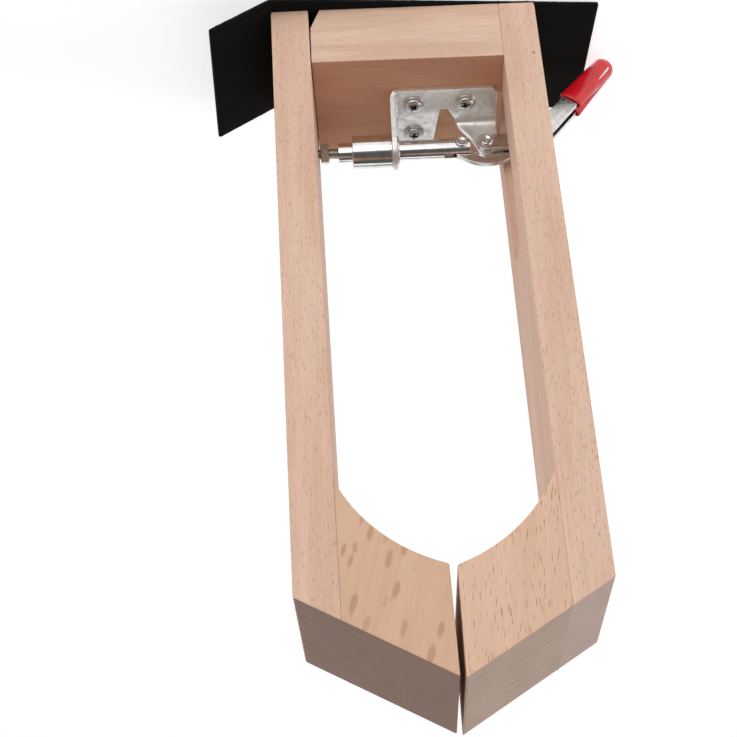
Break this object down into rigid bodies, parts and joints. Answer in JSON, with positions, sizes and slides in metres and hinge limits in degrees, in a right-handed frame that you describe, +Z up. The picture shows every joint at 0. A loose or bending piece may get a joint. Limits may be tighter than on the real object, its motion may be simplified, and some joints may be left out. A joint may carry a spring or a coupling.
{
  "type": "leather stitching pony",
  "caption": "Wooden stitching pony: two tall arms with angled jaws on a base block, one arm hinged and pulled shut by a push-pull toggle clamp, suede strip underneath.",
  "frame": {"origin": "on the flat underside of the suede strip, midway between the legs and midway from front to back of the wood", "axes": "+Z up towards the jaws, +X towards the hinged arm, -Y towards the front, where the clamp's rivet heads face"},
  "size_m": [0.1601, 0.066, 0.2705],
  "materials": {
    "beech_leg": "sanded, bare",
    "beech_jaw": "sanded, bare",
    "beech_block": "sanded, bare",
    "black_suede": "matt nap",
    "zinc_sheet": "zinc plated sheet",
    "zinc_screw": "zinc plated",
    "chrome": "polished",
    "bright_steel": "bright plated",
    "red_vinyl": "glossy dipped vinyl"
  },
  "bodies": {
    "frame": {"base_block": "beech_block", "fixed_leg": "beech_leg", "fixed_jaw_block": "beech_jaw", "base_strip": "black_suede", "leg_screws": "zinc_screw", "hinge_leaf_block": "zinc_sheet", "hinge_pin": "zinc_screw", "hinge_screws_block": "zinc_screw", "clamp_bracket": "zinc_sheet", "clamp_screws": "zinc_screw", "guide_barrel": "chrome", "pivot_rivet": "bright_steel", "pivot_washers": "bright_steel"},
    "arm": {"moving_leg": "beech_leg", "moving_jaw_block": "beech_jaw", "base_strip_flap": "black_suede", "hinge_leaf_arm": "zinc_sheet", "hinge_screws_arm": "zinc_screw"},
    "plunger_body": {"plunger": "chrome", "plunger_rivet": "bright_steel", "spindle_bolt": "zinc_screw", "spindle_washer": "zinc_screw", "spindle_nut": "zinc_screw"},
    "link_body": {"link": "bright_steel"},
    "handle": {"handle_plate_front": "bright_steel", "handle_plate_back": "bright_steel", "link_rivet": "bright_steel", "handle_grip": "red_vinyl"}
  },
  "joints": [
    {"name": "arm_hinge", "type": "hinge", "parent": "frame", "child": "arm", "pos_m": [0.036, 0, 0.007], "axis": [0, 1, 0], "range_deg": [0, 11.25]},
    {"name": "plunger_slide", "type": "slide", "parent": "frame", "child": "plunger_body", "axis": [1, 0, 0], "range_m": [0, 0.00726]},
    {"name": "handle_pivot", "type": "hinge", "parent": "frame", "child": "handle", "pos_m": [-0.0294, 0.007, 0.0435], "axis": [0, 1, 0], "range_deg": [0, 90]},
    {"name": "link_pivot", "type": "hinge", "parent": "plunger_body", "child": "link_body", "pos_m": [-0.0198, 0.007, 0.0435], "axis": [0, 1, 0], "range_deg": [0, 30.5]}
  ],
  "couplings": [
    {"joint": "plunger_slide", "follows": "arm_hinge", "m_per_rad": 0.036974},
    {"joint": "handle_pivot", "follows": "arm_hinge", "ratio": 8},
    {"joint": "link_pivot", "follows": "arm_hinge", "ratio": 2.711}
  ]
}
